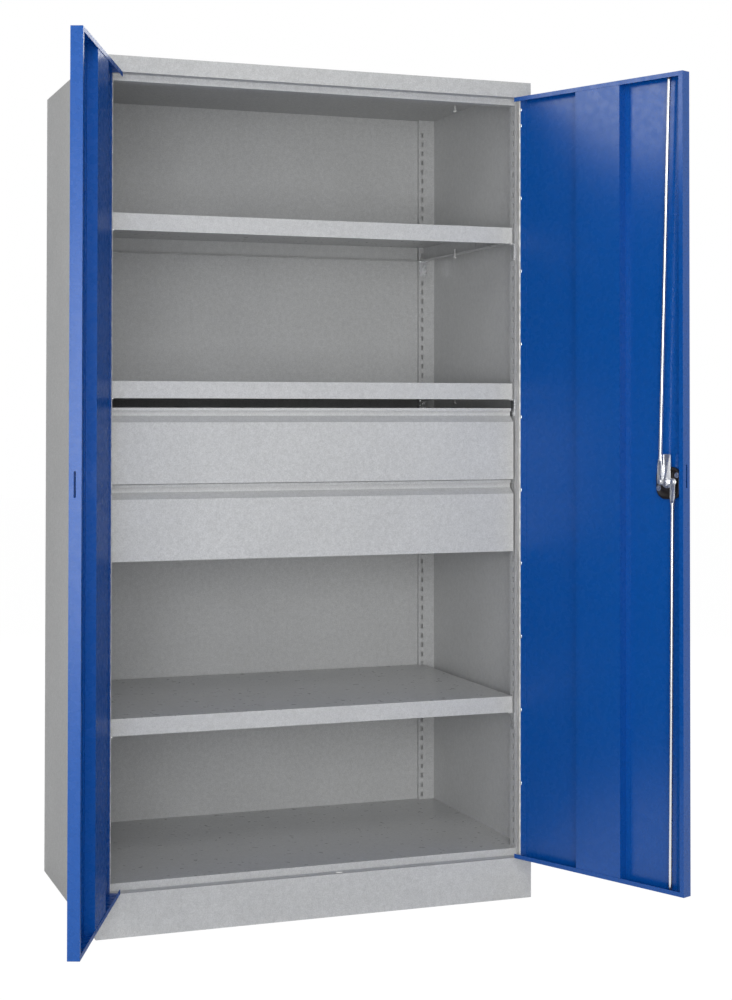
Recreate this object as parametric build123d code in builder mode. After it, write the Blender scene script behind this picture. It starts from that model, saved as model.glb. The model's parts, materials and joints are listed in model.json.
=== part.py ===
from build123d import *
import math
import os

# Heavy-duty storage cabinet with two hinged doors, three shelves and two drawers.
# Millimetres, Z up. X runs across the width with zero at the centre line, Y runs from the front to
# the back, and the origin lies in the middle of the front foot flange, on the floor.
# Rest pose: both doors stand open, both drawers are in, and the lock is open.

# Carcass
cabinet_width = 1050.0
cabinet_depth = 640.0
cabinet_height = 1950.0
body_sheet = 1.2
back_sheet = 1.0
foot_flange = 30.0
fascia_height = 36.5
plinth_height = 97.0
door_recess = 28.0
side_band = 26.0
rear_fold = 20.0
floor_lip = 16.4
rail_lip = 7.6
rail_fold = 7.0
back_inset = 16.0
fit_gap = 0.2

# Perforated posts
post_depth = 32.0
rear_post_width = 44.4
rear_post_depth = 12.0
slot_pitch = 25.1
slot_height = 12.0
slot_width = 6.0
slot_edge = 6.6

# Shelves
shelf_sheet = 1.2
shelf_height = 38.5
shelf_setback = 11.4
shelf_side_gap = 3.0
shelf_return = 15.0
shelf_end_return = 24.0
shelf_notch = 1.5
shelf_rear_gap = 3.0
first_shelf_step = 12
second_shelf_step = 42
top_shelf_step = 57
lowest_step_above_floor = 21.6

# Hook brackets and locking screws
hook_sheet = 2.0
hook_width = 20.0
hook_drop = 40.0
hook_reach = 12.0
tongue_width = 4.0
tongue_height = 8.0
tongue_depth = 5.0
screw_radius = 2.5
screw_head_radius = 5.0
screw_head_height = 4.0
screw_drop = 7.0
screw_rise = 12.0
screw_inset = 16.3
screw_set_back = 359.0

# Drawers
drawer_front_height = 171.0
drawer_gap = 1.5
drawer_under_shelf = 21.2
drawer_end_gap = 1.0
drawer_sheet = 1.0
grip_rise = 33.0
grip_slant = 15.0
grip_depth = 20.0
grip_lip_drop = 6.0
grip_lip_reach = 5.0
front_end_return = 32.0
front_bottom_return = 24.0
tray_depth = 530.0
tray_height = 161.0
tray_lift = 6.0
tray_hem = 8.0
divider_pitch = 25.0
divider_start = 48.0
divider_rise = 25.0
divider_lean = 17.0
divider_width = 4.0
divider_rows = (41.5, 115.5)
divider_count = 19

# Drawer slides
slide_length = 500.0
slide_height = 32.0
slide_space = 13.8
slide_start = 33.0
slide_lift = 17.0
slide_sheet = 1.2
slide_gap = 0.4
slide_middle_inset = 5.6
slide_hook_reach = 9.0
bracket_tab = 17.0

# Doors
door_sheet = 1.0
door_thickness = 25.0
door_gap = 3.0
door_clearance = 3.5
door_lip = 10.0
door_edge_lip = 11.0
right_door_angle = 113.9
left_door_angle = 111.4
stiffener_start = 191.0
stiffener_width = 128.0
stiffener_foot = 12.0

# Continuous hinges
hinge_radius = 3.0
hinge_pin_radius = 1.5
hinge_bore_gap = 0.05
hinge_leaf_sheet = 1.0
hinge_leaf_width = 22.0
hinge_forward = 1.0
hinge_end = 4.0
hinge_pairs = 3
knuckle_gap = 0.4

# Three-point lock on the right door
lock_edge_distance = 53.0
rod_edge_distance = 43.2
rod_level = 15.0
rod_radius = 4.0
rod_throw = 17.5
rod_eye_width = 13.0
rod_eye_sheet = 3.0
rod_eye_length = 34.0
rod_neck = 16.0
rod_retract = 0.3
guide_slack = 0.6
guide_swing = 4.4
cam_sheet = 3.0
cam_hub_radius = 14.0
cam_ear_radius = 8.0
tongue_length = 61.0
tongue_half_width = 10.0
tongue_corner = 3.0
tongue_slot_width = 4.5
tongue_slot_low = 12.0
tongue_slot_high = 39.0
spindle_half = 4.0
spindle_gap = 0.1
pivot_radius = 3.0
pivot_head_radius = 5.0
pivot_head_height = 3.0
housing_width = 66.0
housing_length = 72.0
housing_corner = 24.0
housing_drop = 3.0
housing_height = 9.0
housing_bore = 8.5
housing_chamfer = 2.5
escutcheon_radius = 29.0
escutcheon_height = 8.0
escutcheon_chamfer = 3.0
grip_length = 76.0
grip_width = 28.0
grip_height = 26.0
grip_chamfer = 5.0
grip_post_radius = 13.0
cylinder_radius = 8.5
cylinder_stand = 1.5
keyhole_length = 8.0
keyhole_width = 2.2
keyhole_depth = 9.0
nut_radius = 8.0
nut_height = 5.0
housing_screw_along = 24.5
housing_screw_rise = 15.0
housing_screw_radius = 6.0
housing_screw_height = 0.3

# Levels and faces that the sizes above set
half = cabinet_width / 2
front = -foot_flange / 2
rear = front + cabinet_depth
frame_y = front + door_recess
fascia_bottom = cabinet_height - fascia_height
cover_under = cabinet_height - body_sheet
skin_inside = half - body_sheet
cheek_x = half - side_band
post_face = cheek_x - body_sheet
back_y = rear - back_inset
rail_bottom = fascia_bottom - rail_fold - rail_lip
floor_top = plinth_height + floor_lip
post_rear = frame_y + post_depth
rear_post_y = back_y - rear_post_depth
rear_post_x = skin_inside - rear_post_width
rear_slot_x = rear_post_x + slot_edge + slot_width / 2
front_slot_y = frame_y + post_depth / 2
shelf_front = frame_y + shelf_setback
shelf_end = post_face - shelf_side_gap
first_step = floor_top + lowest_step_above_floor


def shelf_bottom(step):
    """Height of a shelf's lower edge when it hangs on the given step of the perforation."""
    return first_step + step * slot_pitch


slot_below_shelf = 8.0
drawer_face_y = frame_y
drawer_one_bottom = shelf_bottom(second_shelf_step) - drawer_under_shelf - drawer_front_height
drawer_two_bottom = drawer_one_bottom - drawer_gap - drawer_front_height
tray_front_y = drawer_face_y + drawer_sheet
slide_y = drawer_face_y + slide_start
tray_half = post_face - slide_space

# Hinge axes and doors
axis_x = cheek_x - hinge_radius
drawer_front_half = axis_x - hinge_radius - drawer_end_gap
axis_y = front - hinge_forward
door_bottom = plinth_height + door_clearance
door_top = fascia_bottom - door_clearance
door_start = hinge_radius + knuckle_gap
door_end = axis_x - door_gap / 2
door_middle = (door_bottom + door_top) / 2
lock_u = door_end - lock_edge_distance
rod_u = door_end - rod_edge_distance
rod_x = axis_x - rod_u
rod_y = axis_y + rod_level
cam_low = rod_level - rod_eye_sheet / 2 - 0.1 - cam_sheet
cam_high = cam_low + cam_sheet

os.makedirs("parts", exist_ok=True)


def save(piece, name):
    """Label a finished piece and write it to its own file."""
    piece.part.label = name
    export_step(piece.part, f"parts/{name}.step")


def folded(points, sheet, hand=1):
    """Section of a sheet bent along the points, which trace its outer face, in the open sketch.

    The sheet lies to the right of the line. A hand of -1 mirrors the section about the line x = 0.
    """
    with BuildLine() as line:
        Polyline(*[(hand * x, y) for x, y in points])
        offset(
            amount=sheet,
            side=Side.RIGHT if hand > 0 else Side.LEFT,
            kind=Kind.INTERSECTION,
        )
    make_face(line.line.edges())


def block(low, high):
    """A plain rectangular stretch of sheet between two corners, added to the open part."""
    size = [b - a for a, b in zip(low, high)]
    centre = [(a + b) / 2 for a, b in zip(low, high)]
    with Locations(tuple(centre)):
        Box(*size)


def cut_block(low, high):
    """A rectangular opening between two corners, cut from the open part."""
    size = [b - a for a, b in zip(low, high)]
    centre = [(a + b) / 2 for a, b in zip(low, high)]
    with Locations(tuple(centre)):
        Box(*size, mode=Mode.SUBTRACT)


def across(hand, near, far):
    """Order two distances from the centre line as low and high X on the given side."""
    return sorted((hand * near, hand * far))


sides = (("left", -1), ("right", 1))


# Side panels: one sheet each, folded round the rear edge, the front band and the door recess
for side, hand in sides:
    skin = [(half - rear_fold, rear), (half, rear), (half, front + body_sheet)]
    banded = [
        (half - rear_fold, rear),
        (half, rear),
        (half, front),
        (cheek_x, front),
        (cheek_x, frame_y),
        (cheek_x + 16.0, frame_y),
    ]
    with BuildPart() as panel:
        with BuildSketch(Plane.XY):
            folded(skin, body_sheet, hand)
        extrude(amount=plinth_height)
        with BuildSketch(Plane.XY.offset(plinth_height)):
            folded(banded, body_sheet, hand)
        extrude(amount=fascia_bottom - plinth_height)
        with BuildSketch(Plane.XY.offset(fascia_bottom)):
            folded(skin, body_sheet, hand)
        extrude(amount=cover_under - fascia_bottom)
        x_low, x_high = across(hand, half - foot_flange, skin_inside)
        block(
            (x_low, front + foot_flange + fit_gap, 0),
            (x_high, rear - foot_flange - fit_gap, body_sheet),
        )
    save(panel, f"{side}_side_panel")


# Back panel: a pan that stands between the rear folds of the sides
back_edge = skin_inside - fit_gap
with BuildPart() as back:
    with BuildSketch(Plane.XY.offset(plinth_height)):
        folded(
            [
                (back_edge, rear - body_sheet),
                (back_edge, back_y),
                (-back_edge, back_y),
                (-back_edge, rear - body_sheet),
            ],
            back_sheet,
        )
    extrude(amount=cover_under - plinth_height)
save(back, "back_panel")


def strike_slot(level):
    """Cut the slot that takes a lock rod through a flange lying just above the given height."""
    length = 2 * (rod_radius + guide_slack / 2 + guide_swing)
    with BuildSketch(Plane.XY.offset(level - body_sheet)) as slot:
        with Locations((rod_x, rod_y)):
            SlotOverall(length, 2 * rod_radius + guide_slack)
    extrude(slot.sketch, amount=3 * body_sheet, mode=Mode.SUBTRACT)


# Top cover: lid, fascia, the flange above the doors and its short down-turned edge
with BuildPart() as cover:
    with BuildSketch(Plane.YZ):
        folded(
            [
                (frame_y, fascia_bottom - rail_fold),
                (frame_y, fascia_bottom),
                (front, fascia_bottom),
                (front, cabinet_height),
                (rear, cabinet_height),
                (rear, cabinet_height - rear_fold),
            ],
            body_sheet,
        )
    extrude(amount=post_face - fit_gap, both=True)
    for hand in (-1, 1):
        x_low, x_high = across(hand, post_face - fit_gap, half)
        block((x_low, front, cover_under), (x_high, rear, cabinet_height))
        block((x_low, front, fascia_bottom), (x_high, front + body_sheet, cabinet_height))
        x_low, x_high = across(hand, post_face - fit_gap, skin_inside)
        block(
            (x_low, front, fascia_bottom),
            (x_high, frame_y, fascia_bottom + body_sheet),
        )
    strike_slot(fascia_bottom)
save(cover, "top_cover")


# Top rail behind the doors' upper edges
rail_y = frame_y + body_sheet
with BuildPart() as rail:
    with BuildSketch(Plane.YZ):
        folded([(rail_y + 26.0, rail_bottom), (rail_y, rail_bottom), (rail_y, cover_under)], body_sheet)
    extrude(amount=post_face - fit_gap, both=True)
save(rail, "top_rail")


# Floor shelf with its front lip, which stands on the plinth
with BuildPart() as floor:
    with BuildSketch(Plane.YZ):
        folded(
            [
                (frame_y, plinth_height),
                (frame_y, floor_top),
                (back_y - fit_gap, floor_top),
                (back_y - fit_gap, plinth_height),
            ],
            body_sheet,
        )
    extrude(amount=skin_inside - fit_gap, both=True)
    for hand in (-1, 1):
        x_low, x_high = across(hand, skin_inside - fit_gap - body_sheet, skin_inside - fit_gap)
        block((x_low, frame_y, plinth_height), (x_high, back_y - fit_gap, floor_top))
save(floor, "floor_shelf")


# Plinth: a channel under the front and one under the back, standing on in-turned foot flanges
with BuildPart() as plinth:
    with BuildSketch(Plane.YZ):
        folded(
            [
                (front + foot_flange, 0),
                (front, 0),
                (front, plinth_height),
                (frame_y + 14.0, plinth_height),
            ],
            body_sheet,
        )
    extrude(amount=skin_inside, both=True)
    for hand in (-1, 1):
        x_low, x_high = across(hand, skin_inside, half)
        block((x_low, front, 0), (x_high, front + body_sheet, plinth_height))
    strike_slot(plinth_height - body_sheet)
save(plinth, "plinth_front")

with BuildPart() as plinth:
    with BuildSketch(Plane.YZ):
        folded(
            [
                (back_y, plinth_height),
                (rear, plinth_height),
                (rear, 0),
                (rear - foot_flange, 0),
            ],
            body_sheet,
        )
    extrude(amount=half - rear_fold - fit_gap, both=True)
save(plinth, "plinth_rear")


# Perforated posts: the shelves and the drawer rails hang on these
post_slots = int((cover_under - first_step) / slot_pitch)
slot_heights = [first_step + step * slot_pitch - slot_below_shelf for step in range(post_slots)]
for side, hand in sides:
    with BuildPart() as post:
        with BuildSketch(Plane.XY.offset(floor_top)):
            folded(
                [
                    (cheek_x + 16.0, frame_y),
                    (post_face, frame_y),
                    (post_face, post_rear),
                    (skin_inside, post_rear),
                ],
                body_sheet,
                hand,
            )
        extrude(amount=cover_under - floor_top)
        with BuildSketch(Plane.YZ.offset(hand * post_face)):
            with Locations([(front_slot_y, z) for z in slot_heights]):
                Rectangle(slot_width, slot_height)
        extrude(amount=2 * body_sheet, both=True, mode=Mode.SUBTRACT)
    save(post, f"{side}_front_post")

    with BuildPart() as post:
        with BuildSketch(Plane.XY.offset(floor_top)):
            folded(
                [
                    (skin_inside, back_y - fit_gap),
                    (skin_inside, rear_post_y),
                    (rear_post_x, rear_post_y),
                    (rear_post_x, back_y),
                ],
                body_sheet,
                hand,
            )
        extrude(amount=cover_under - floor_top)
        with BuildSketch(Plane.XZ.offset(-rear_post_y)):
            with Locations([(hand * rear_slot_x, z) for z in slot_heights]):
                Rectangle(slot_width, slot_height)
        extrude(amount=2 * body_sheet, both=True, mode=Mode.SUBTRACT)
    save(post, f"{side}_rear_post")


def shelf(name, bottom):
    """A shelf folded down on all four sides, with its rear corners cut out round the posts."""
    top = bottom + shelf_height
    back_edge = back_y - shelf_rear_gap
    corner_y = rear_post_y - shelf_notch
    middle = rear_post_x - shelf_notch
    with BuildPart() as piece:
        with BuildSketch(Plane.YZ):
            folded(
                [
                    (shelf_front + shelf_return, bottom),
                    (shelf_front, bottom),
                    (shelf_front, top),
                    (back_edge, top),
                    (back_edge, bottom),
                    (back_edge - shelf_return, bottom),
                ],
                shelf_sheet,
            )
        extrude(amount=middle, both=True)
        with BuildSketch(Plane.YZ):
            folded(
                [
                    (shelf_front + shelf_return, bottom),
                    (shelf_front, bottom),
                    (shelf_front, top),
                    (corner_y, top),
                ],
                shelf_sheet,
            )
        extrude(amount=shelf_end, both=True)
        for hand in (-1, 1):
            x_low, x_high = across(hand, shelf_end - shelf_sheet, shelf_end)
            block((x_low, shelf_front, bottom), (x_high, corner_y, top))
            x_low, x_high = across(hand, shelf_end - shelf_end_return, shelf_end)
            block((x_low, shelf_front, bottom), (x_high, corner_y, bottom + shelf_sheet))
        with Locations([(hand * screw_x, screw_y, bottom) for hand in (-1, 1)]):
            Cylinder(screw_radius + hinge_bore_gap, 4 * shelf_sheet, mode=Mode.SUBTRACT)
    save(piece, name)


screw_x = shelf_end - screw_inset
screw_y = front + screw_set_back
shelf_bottoms = {
    "top": shelf_bottom(top_shelf_step),
    "middle": shelf_bottom(second_shelf_step),
    "lower": shelf_bottom(first_shelf_step),
}
for place, bottom in shelf_bottoms.items():
    shelf(f"{place}_shelf", bottom)


def hooks(name, bottom):
    """Four hook brackets: two in the front posts and two in the rear posts, under one shelf."""
    low = bottom - hook_drop
    slots = (bottom - slot_below_shelf, bottom - slot_below_shelf - slot_pitch)
    with BuildPart() as piece:
        for hand in (-1, 1):
            y_low = front_slot_y - hook_width / 2
            y_high = front_slot_y + hook_width / 2
            x_low, x_high = across(hand, post_face - hook_sheet, post_face)
            block((x_low, y_low, low), (x_high, y_high, bottom))
            x_low, x_high = across(hand, shelf_end - hook_reach, post_face)
            block((x_low, y_low, bottom - hook_sheet), (x_high, y_high, bottom))
            x_low, x_high = across(hand, post_face, post_face + tongue_depth)
            for z in slots:
                block(
                    (x_low, front_slot_y - tongue_width / 2, z - tongue_height / 2),
                    (x_high, front_slot_y + tongue_width / 2, z + tongue_height / 2),
                )
            x_low, x_high = across(hand, rear_post_x + 1.0, rear_post_x + 1.0 + hook_width)
            block((x_low, rear_post_y - hook_sheet, low), (x_high, rear_post_y, bottom))
            x_low, x_high = across(hand, shelf_end - hook_reach, rear_post_x + 1.0 + hook_width)
            block(
                (x_low, rear_post_y - hook_width, bottom - hook_sheet),
                (x_high, rear_post_y, bottom),
            )
            x_low, x_high = across(
                hand, rear_slot_x - tongue_width / 2, rear_slot_x + tongue_width / 2
            )
            for z in slots:
                block(
                    (x_low, rear_post_y, z - tongue_height / 2),
                    (x_high, rear_post_y + tongue_depth, z + tongue_height / 2),
                )
    save(piece, name)


for place, bottom in shelf_bottoms.items():
    hooks(f"{place}_shelf_hooks", bottom)


# Plated locking screws: a pair under each shelf and a pair under the top cover
with BuildPart() as screws:
    for hand in (-1, 1):
        for bottom in shelf_bottoms.values():
            with Locations((hand * screw_x, screw_y, bottom - screw_drop)):
                Cylinder(screw_radius, screw_drop + screw_rise, align=(Align.CENTER, Align.CENTER, Align.MIN))
        with Locations((hand * screw_x, screw_y, cover_under)):
            Cylinder(screw_radius, screw_rise, align=(Align.CENTER, Align.CENTER, Align.MAX))
    heads_under = [bottom - screw_drop for bottom in shelf_bottoms.values()]
    for level in heads_under + [cover_under - screw_rise]:
        with BuildSketch(Plane.XY.offset(level)):
            with Locations((-screw_x, screw_y), (screw_x, screw_y)):
                RegularPolygon(screw_head_radius, 6)
        extrude(amount=-screw_head_height)
save(screws, "locking_screws")


def grip_section(bottom):
    """Outer line of a drawer front: bottom return, face, slanted grip and its folded lip."""
    face = drawer_face_y
    top = bottom + drawer_front_height - drawer_sheet
    return [
        (face + front_bottom_return, bottom),
        (face, bottom),
        (face, top + drawer_sheet - grip_rise),
        (face + grip_depth, top + drawer_sheet - grip_rise + grip_slant),
        (face + grip_depth, top),
        (face + grip_depth - grip_lip_reach, top),
        (face + grip_depth - grip_lip_reach, top - grip_lip_drop),
    ]


def drawer_front(name, bottom):
    """The drawer front: a folded sheet with a finger grip along its top and turned-in ends."""
    end = drawer_front_half
    back_line = drawer_face_y + front_end_return
    section = grip_section(bottom)
    with BuildPart() as piece:
        with BuildSketch(Plane.YZ):
            folded(section, drawer_sheet)
        extrude(amount=end, both=True)
        for hand in (-1, 1):
            with BuildSketch(Plane.YZ.offset(hand * end)):
                with BuildLine():
                    Polyline(
                        section[1],
                        section[2],
                        section[3],
                        section[4],
                        (back_line, section[4][1]),
                        (back_line, bottom),
                        close=True,
                    )
                make_face()
            extrude(amount=-hand * drawer_sheet)
    save(piece, name)


def tray(name, bottom):
    """The drawer tray: bottom, two slotted sides and a back, with hems along the upper edges."""
    base = bottom + tray_lift
    top = base + tray_height
    wide = tray_half
    back_line = tray_front_y + tray_depth
    slant_low = bottom + drawer_front_height - grip_rise
    lean_angle = math.degrees(math.atan2(divider_lean, divider_rise))
    with BuildPart() as piece:
        block((-wide, tray_front_y, base), (wide, back_line, top))
        cut_block(
            (-wide + drawer_sheet, tray_front_y - 1, base + drawer_sheet),
            (wide - drawer_sheet, back_line - drawer_sheet, top - drawer_sheet),
        )
        cut_block(
            (-wide + tray_hem, tray_front_y - 1, top - 2 * drawer_sheet),
            (wide - tray_hem, back_line - tray_hem, top + 1),
        )
        with BuildSketch(Plane.YZ):
            with BuildLine():
                Polyline(
                    (tray_front_y - 1, slant_low - 1.5),
                    (tray_front_y, slant_low - 1.5),
                    (tray_front_y + grip_depth, slant_low + grip_slant - 1.5),
                    (tray_front_y + grip_depth, top + 1),
                    (tray_front_y - 1, top + 1),
                    close=True,
                )
            make_face()
        extrude(amount=wide + 1, both=True, mode=Mode.SUBTRACT)
        with BuildSketch(Plane.YZ):
            first = tray_front_y + divider_start
            for row in divider_rows:
                middle = bottom + row + divider_rise / 2
                with Locations([(first + i * divider_pitch, middle) for i in range(divider_count)]):
                    Rectangle(divider_width, math.hypot(divider_rise, divider_lean), rotation=lean_angle)
        extrude(amount=wide + 1, both=True, mode=Mode.SUBTRACT)
    save(piece, name)


def slide_member(web, flange, height, level, hand, start):
    """Two flanges and a web, as one long member on one side of a drawer."""
    web_low, web_high = across(hand, post_face - web, post_face - web - slide_sheet)
    x_low, x_high = across(hand, post_face - flange[0], post_face - flange[1])
    end = start + slide_length
    block((web_low, start, level - height / 2), (web_high, end, level + height / 2))
    block((x_low, start, level + height / 2 - slide_sheet), (x_high, end, level + height / 2))
    block((x_low, start, level - height / 2), (x_high, end, level - height / 2 + slide_sheet))


def slides(number, bottom):
    """Cabinet rails, middle rails, drawer rails and the brackets that carry the cabinet rails."""
    level = bottom + tray_lift + slide_lift
    outer = slide_height
    middle = outer - 2 * (slide_sheet + slide_gap)
    inner = middle - 2 * (slide_sheet + slide_gap)
    inner_edge = slide_middle_inset + slide_sheet + slide_gap
    with BuildPart() as rails:
        for hand in (-1, 1):
            slide_member(0, (0, slide_hook_reach), outer, level, hand, slide_y)
    save(rails, f"drawer_{number}_cabinet_rails")
    with BuildPart() as rails:
        for hand in (-1, 1):
            slide_member(
                slide_middle_inset,
                (slide_middle_inset, slide_space - slide_sheet - slide_gap),
                middle,
                level,
                hand,
                slide_y,
            )
    save(rails, f"drawer_{number}_middle_rails")
    with BuildPart() as rails:
        for hand in (-1, 1):
            slide_member(
                slide_space - slide_sheet, (inner_edge, slide_space), inner, level, hand, slide_y
            )
    save(rails, f"drawer_{number}_drawer_rails")
    with BuildPart() as brackets:
        for hand in (-1, 1):
            with BuildSketch(Plane.XY.offset(level - slide_height / 2)):
                folded(
                    [
                        (post_face + bracket_tab, post_rear),
                        (post_face, post_rear),
                        (post_face, rear_post_y),
                        (post_face + bracket_tab, rear_post_y),
                    ],
                    body_sheet,
                    hand,
                )
            extrude(amount=slide_height)
    save(brackets, f"drawer_{number}_rail_brackets")


for number, bottom in ((1, drawer_one_bottom), (2, drawer_two_bottom)):
    drawer_front(f"drawer_{number}_front", bottom)
    tray(f"drawer_{number}_tray", bottom)
    slides(number, bottom)


# Doors. A door is drawn in its own directions: u runs from the hinge axis to the free edge, and t
# from the outer face, which holds the axis, into the cabinet. Both turn with the door.
door_angles = {"left": left_door_angle, "right": right_door_angle}


def door_directions(side, hand):
    """Unit vectors along u and t for a door standing at its rest angle."""
    turn = math.radians(door_angles[side])
    u = Vector(-hand * math.cos(turn), -math.sin(turn), 0)
    t = Vector(-hand * math.sin(turn), math.cos(turn), 0)
    return u, t


def door_point(side, hand, u, t, z):
    """A point of the door, given in the door's own directions."""
    along, inward = door_directions(side, hand)
    return Vector(hand * axis_x, axis_y, z) + along * u + inward * t


def door_plan(side, hand, z):
    """Horizontal plane at height z. Its x is u, and t lies along minus hand times its y."""
    along, inward = door_directions(side, hand)
    origin = door_point(side, hand, 0, 0, z)
    return Plane(origin=origin, x_dir=along, z_dir=(0, 0, 1))


def door_face(side, hand, t):
    """Upright plane at depth t. Its x is u and its y is the height above the door's middle."""
    along, inward = door_directions(side, hand)
    origin = door_point(side, hand, 0, t, door_middle)
    return Plane(origin=origin, x_dir=along, z_dir=inward * hand)


def plan_rectangle(hand, u_span, t_span):
    """A rectangle in a door's horizontal plane, given by its spans in u and t."""
    with Locations(((u_span[0] + u_span[1]) / 2, -hand * (t_span[0] + t_span[1]) / 2)):
        Rectangle(u_span[1] - u_span[0], t_span[1] - t_span[0])


def door_box(side, hand, u_span, t_span, z_span, mode=Mode.ADD):
    """A block of the door between spans in u, t and z."""
    with BuildSketch(door_plan(side, hand, z_span[0])) as outline:
        plan_rectangle(hand, u_span, t_span)
    extrude(outline.sketch, amount=z_span[1] - z_span[0], mode=mode)


def face_disc(side, hand, u, z, radius, t_span, mode=Mode.ADD):
    """A round piece standing on the door's face, from one depth to another."""
    with BuildSketch(door_face(side, hand, t_span[0])) as disc:
        with Locations((u, z - door_middle)):
            Circle(radius)
    extrude(disc.sketch, amount=hand * (t_span[1] - t_span[0]), mode=mode)


def door_pan(side, hand):
    """The door sheet with its top, bottom and free-edge flanges and their turned-in lips."""
    rim = door_thickness
    with BuildPart() as pan:
        door_box(side, hand, (door_start, door_end), (0, rim), (door_bottom, door_top))
        door_box(
            side,
            hand,
            (door_start - 5, door_end - door_sheet),
            (door_sheet, rim - door_sheet),
            (door_bottom + door_sheet, door_top - door_sheet),
            Mode.SUBTRACT,
        )
        door_box(
            side,
            hand,
            (door_start - 5, door_end - door_edge_lip),
            (rim - 2 * door_sheet, rim + 1),
            (door_bottom + door_lip, door_top - door_lip),
            Mode.SUBTRACT,
        )
        door_box(
            side,
            hand,
            (door_end - 2 * door_sheet, door_end + 1),
            (tongue_slot_t - tongue_slot_width / 2, tongue_slot_t + tongue_slot_width / 2),
            (door_middle - tongue_slot_low, door_middle + tongue_slot_high),
            Mode.SUBTRACT,
        )
        if side == "right":
            face_disc(side, hand, lock_u, door_middle, housing_bore + 1, (-1, 2 * door_sheet), Mode.SUBTRACT)
            for level in (door_bottom, door_top - door_sheet):
                with BuildSketch(door_plan(side, hand, level - 1)):
                    with Locations((rod_u, -hand * rod_level)):
                        SlotOverall(
                            2 * (rod_radius + guide_slack / 2 + guide_swing),
                            2 * rod_radius + guide_slack,
                        )
                extrude(amount=door_sheet + 2, mode=Mode.SUBTRACT)
    save(pan, f"{side}_door_pan")


def stiffener(side, hand):
    """Hat-shaped stiffener that runs the full height inside a door."""
    start = stiffener_start
    end = start + stiffener_width
    foot = 2 * door_sheet
    crown = door_thickness - door_sheet
    points = [
        (start - stiffener_foot, foot),
        (start, foot),
        (start, crown),
        (end, crown),
        (end, foot),
        (end + stiffener_foot, foot),
    ]
    with BuildPart() as hat:
        with BuildSketch(door_plan(side, hand, door_bottom + door_sheet)):
            with BuildLine():
                Polyline(*[(u, -hand * t) for u, t in points])
                offset(
                    amount=door_sheet,
                    side=Side.LEFT if hand > 0 else Side.RIGHT,
                    kind=Kind.INTERSECTION,
                )
            make_face()
        extrude(amount=door_top - door_bottom - 2 * door_sheet)
    save(hat, f"{side}_door_stiffener")


hinge_bottom = door_bottom + hinge_end
hinge_top = door_top - hinge_end
knuckle_length = (hinge_top - hinge_bottom) / (2 * hinge_pairs)
tongue_slot_t = (cam_low + cam_high) / 2


def knuckle_spans(first):
    """Heights of every second knuckle, starting with the first or the second one."""
    spans = []
    for index in range(first, 2 * hinge_pairs, 2):
        low = hinge_bottom + index * knuckle_length
        spans.append((low + knuckle_gap / 2, low + knuckle_length - knuckle_gap / 2))
    return spans


def knuckles(hand, spans):
    """Bored barrels round the hinge axis, added to the open part."""
    for low, high in spans:
        with BuildSketch(Plane.XY.offset(low)) as barrel:
            with Locations((hand * axis_x, axis_y)):
                Circle(hinge_radius)
        extrude(barrel.sketch, amount=high - low)


def hinge_bore(hand):
    """Bore the open part along the hinge axis for the pin."""
    with BuildSketch(Plane.XY.offset(hinge_bottom - 1)) as bore:
        with Locations((hand * axis_x, axis_y)):
            Circle(hinge_pin_radius + hinge_bore_gap)
    extrude(bore.sketch, amount=hinge_top - hinge_bottom + 2, mode=Mode.SUBTRACT)


def hinge(side, hand):
    """Continuous hinge: a leaf on the cabinet's cheek, a leaf on the door, and the pin."""
    frame_spans = knuckle_spans(0)
    door_spans = knuckle_spans(1)
    clear = hinge_radius + knuckle_gap
    with BuildPart() as leaf:
        x_low, x_high = across(hand, cheek_x - hinge_leaf_sheet, cheek_x)
        block((x_low, axis_y + clear, hinge_bottom), (x_high, axis_y + hinge_leaf_width, hinge_top))
        for low, high in frame_spans:
            block((x_low, axis_y, low), (x_high, axis_y + clear, high))
        knuckles(hand, frame_spans)
        hinge_bore(hand)
    save(leaf, f"{side}_hinge_frame_leaf")
    inner = (door_sheet, door_sheet + hinge_leaf_sheet)
    with BuildPart() as leaf:
        door_box(side, hand, (clear, hinge_leaf_width), inner, (hinge_bottom, hinge_top))
        for low, high in door_spans:
            door_box(side, hand, (0, clear), inner, (low, high))
        knuckles(hand, door_spans)
        hinge_bore(hand)
    save(leaf, f"{side}_hinge_door_leaf")
    with BuildPart() as pin:
        with BuildSketch(Plane.XY.offset(hinge_bottom)):
            with Locations((hand * axis_x, axis_y)):
                Circle(hinge_pin_radius)
        extrude(amount=hinge_top - hinge_bottom)
    save(pin, f"{side}_hinge_pin")


for side, hand in sides:
    door_pan(side, hand)
    stiffener(side, hand)
    hinge(side, hand)


# Three-point lock, all on the right door
lock_side, lock_hand = sides[1]


def lock_disc(u, z, radius, t_span, mode=Mode.ADD):
    """A round piece of the lock, from one depth to another."""
    face_disc(lock_side, lock_hand, u, z, radius, t_span, mode)


def lock_plate(t):
    """Upright plane at depth t through the lock's axis, with its origin on that axis."""
    along, inward = door_directions(lock_side, lock_hand)
    origin = door_point(lock_side, lock_hand, lock_u, t, door_middle)
    return Plane(origin=origin, x_dir=along, z_dir=inward * lock_hand)


with BuildPart() as housing:
    with BuildSketch(lock_plate(door_sheet)):
        with Locations((0, -housing_drop)):
            RectangleRounded(housing_width, housing_length, housing_corner)
    extrude(amount=housing_height)
    rim_edges = housing.faces().sort_by(Axis(lock_plate(0).origin, lock_plate(0).z_dir))[-1].edges()
    chamfer(rim_edges, housing_chamfer)
    lock_disc(lock_u, door_middle, housing_bore, (0, cam_low), Mode.SUBTRACT)
save(housing, "lock_housing")

with BuildPart() as housing_screws:
    for step in (-1, 1):
        along_u = lock_u + step * housing_screw_along
        height = door_middle + step * housing_screw_rise
        base = door_sheet + housing_height
        lock_disc(along_u, height, housing_screw_radius, (base, base + housing_screw_height))
save(housing_screws, "lock_housing_screws")

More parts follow.
